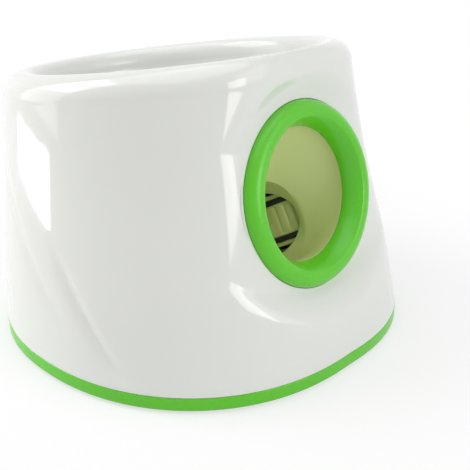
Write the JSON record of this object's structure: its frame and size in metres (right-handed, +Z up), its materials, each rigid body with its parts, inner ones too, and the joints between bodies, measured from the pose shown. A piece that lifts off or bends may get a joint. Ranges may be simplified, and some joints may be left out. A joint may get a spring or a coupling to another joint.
{
  "type": "automatic dog ball launcher",
  "caption": "Round floor-standing ball launcher for dogs: a ball bowl on top feeds an inner chamber, an arm and spinning wheels throw balls out of a round mouth.",
  "frame": {"origin": "on the floor, under the middle of the object's footprint", "axes": "+Z up, -Y out of the mouth, +X to the right seen from behind the mouth"},
  "size_m": [0.2748, 0.2728, 0.1962],
  "materials": {
    "shell_white": "glossy injection moulded ABS",
    "trim_green": "glossy moulded green plastic",
    "plate_white": "fine textured moulding",
    "barrel_cream": "plain cream moulding",
    "tread_black": "matt black rubber",
    "foot_grey": "matt dark rubber",
    "bright_steel": "turned steel",
    "can_steel": "drawn and plated motor can",
    "screw_zinc": "zinc plated screws",
    "gear_nylon": "natural nylon",
    "inner_black": "matt black moulding",
    "board_green": "solder mask",
    "light_lens": "translucent green lens",
    "cell_wrap": "plain shrink wrap"
  },
  "bodies": {
    "root": {"main_shell": "shell_white", "base_trim": "trim_green", "base_plate": "plate_white", "hopper_bowl": "shell_white", "mouth_ring": "trim_green", "launch_barrel": "barrel_cream", "ball_chamber": "barrel_cream", "left_drive_motor": "can_steel", "right_drive_motor": "can_steel", "left_motor_mount": "barrel_cream", "right_motor_mount": "barrel_cream", "feed_motor": "can_steel", "feed_bracket": "barrel_cream", "feed_bushes": "inner_black", "sensor_pin": "bright_steel", "sensor_switch": "inner_black", "control_board": "board_green", "board_parts": "inner_black", "button_spring": "bright_steel", "button_bezel": "shell_white", "range_lights": "light_lens", "speaker": "inner_black", "dc_jack": "inner_black", "battery_box": "plate_white", "battery_cells": "cell_wrap", "battery_contacts": "bright_steel", "battery_door": "plate_white", "rubber_feet": "foot_grey", "base_screws": "screw_zinc", "motor_screws": "screw_zinc", "chamber_screws": "screw_zinc", "board_screws": "screw_zinc", "bracket_screws": "screw_zinc"},
    "left_wheel": {"left_flywheel": "barrel_cream", "left_tread_rings": "tread_black", "left_motor_shaft": "bright_steel"},
    "right_wheel": {"right_flywheel": "barrel_cream", "right_tread_rings": "tread_black", "right_motor_shaft": "bright_steel"},
    "feed_swing": {"feed_arm": "barrel_cream", "feed_shaft": "bright_steel", "feed_gear": "gear_nylon"},
    "feed_drive": {"feed_pinion": "bright_steel"},
    "sensor_lever": {"ball_sensor_lever": "bright_steel"},
    "button": {"range_button": "trim_green"}
  },
  "joints": [
    {"name": "left_wheel_spin", "type": "hinge", "parent": "root", "child": "left_wheel", "pos_m": [-0.05, -0.048, 0.0693], "axis": [0, 0.4848, 0.8746], "continuous": true},
    {"name": "right_wheel_spin", "type": "hinge", "parent": "root", "child": "right_wheel", "pos_m": [0.05, -0.048, 0.0693], "axis": [0, 0.4848, 0.8746], "continuous": true},
    {"name": "feed_arm_swing", "type": "hinge", "parent": "root", "child": "feed_swing", "pos_m": [0, 0.031, 0.087], "axis": [-1, 0, 0], "range_deg": [0, 28]},
    {"name": "feed_pinion_turn", "type": "hinge", "parent": "root", "child": "feed_drive", "pos_m": [0, 0.04712, 0.08113], "axis": [-1, 0, 0], "range_deg": [-40.5, 0.5]},
    {"name": "sensor_lever_tilt", "type": "hinge", "parent": "root", "child": "sensor_lever", "pos_m": [-0.038, -0.00527, 0.066], "axis": [0, 1, 0], "range_deg": [0, 12], "stiffness_Nm_per_rad": 0.003, "springref_deg": -17.19},
    {"name": "range_button_press", "type": "slide", "parent": "root", "child": "button", "axis": [0, -1, 0], "range_m": [0, 0.002], "stiffness_N_per_m": 200, "springref_m": -0.002, "deforming": ["button_spring"]}
  ],
  "couplings": [
    {"joint": "right_wheel_spin", "follows": "left_wheel_spin", "ratio": -1},
    {"joint": "feed_pinion_turn", "follows": "feed_arm_swing", "ratio": -1.4286}
  ]
}
